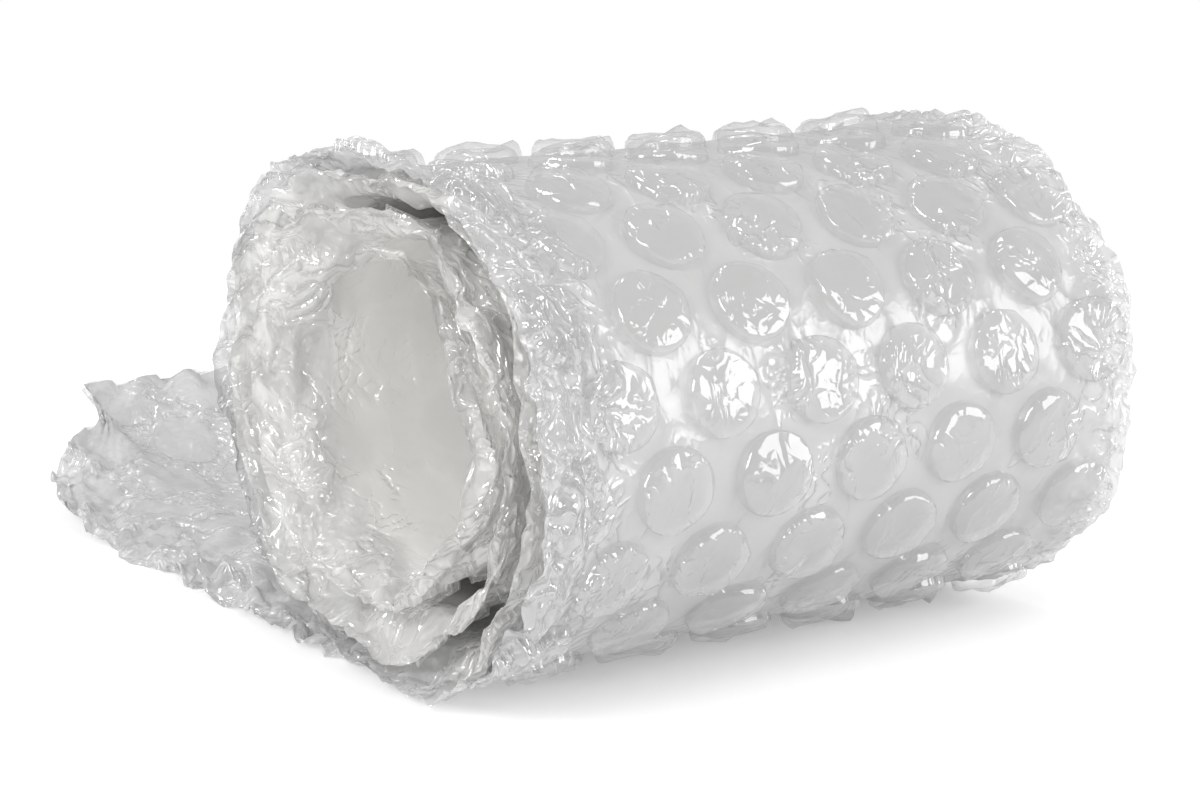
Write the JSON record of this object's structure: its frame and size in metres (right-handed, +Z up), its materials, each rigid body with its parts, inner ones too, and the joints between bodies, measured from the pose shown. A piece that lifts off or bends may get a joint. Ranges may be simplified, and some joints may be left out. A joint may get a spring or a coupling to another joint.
{
  "type": "bubble film roll",
  "caption": "Loose roll of clear bubble film lying on its side, wound into an oval with an open hollow, its free end trailing behind it and curling up.",
  "frame": {"origin": "on the floor, under the middle of the bounding box", "axes": "+X along the roll's axis, away from the crumpled end that faces the viewer; +Y the way the free end trails; +Z up"},
  "size_m": [0.26, 0.4354, 0.1847],
  "materials": {
    "clear_film": "clear, slightly milky soft film with glossy creases"
  },
  "bodies": {
    "root": {"bubble_film_roll": "clear_film"}
  },
  "joints": []
}
